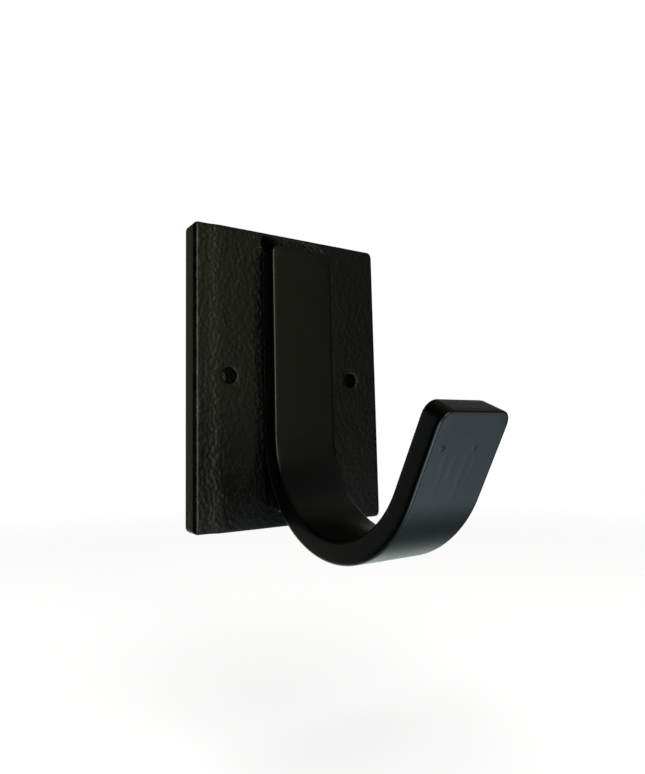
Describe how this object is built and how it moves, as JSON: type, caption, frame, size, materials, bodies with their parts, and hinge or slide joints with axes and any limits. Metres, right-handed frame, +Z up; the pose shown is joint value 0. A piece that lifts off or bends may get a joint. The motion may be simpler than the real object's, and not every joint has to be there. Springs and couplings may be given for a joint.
{
  "type": "wall hook",
  "caption": "Wall-mounted J-shaped hook of bent flat steel bar welded to a flat rectangular back plate with plain screw holes.",
  "frame": {"origin": "centre of the back plate's wall face, midway between the two screw holes", "axes": "+X along the plate's width, +Y into the wall, +Z up; the hook stands out towards -Y"},
  "size_m": [0.0762, 0.0887, 0.1076],
  "materials": {
    "plate_coat": "satin black coat over the orange-peel texture of hot-rolled steel",
    "bar_coat": "smooth satin black coat",
    "weld_coat": "semi-gloss black coat over a rippled weld bead"
  },
  "bodies": {
    "root": {"back_plate": "plate_coat", "hook_bar": "bar_coat", "top_weld": "weld_coat", "lower_weld": "weld_coat"}
  },
  "joints": []
}
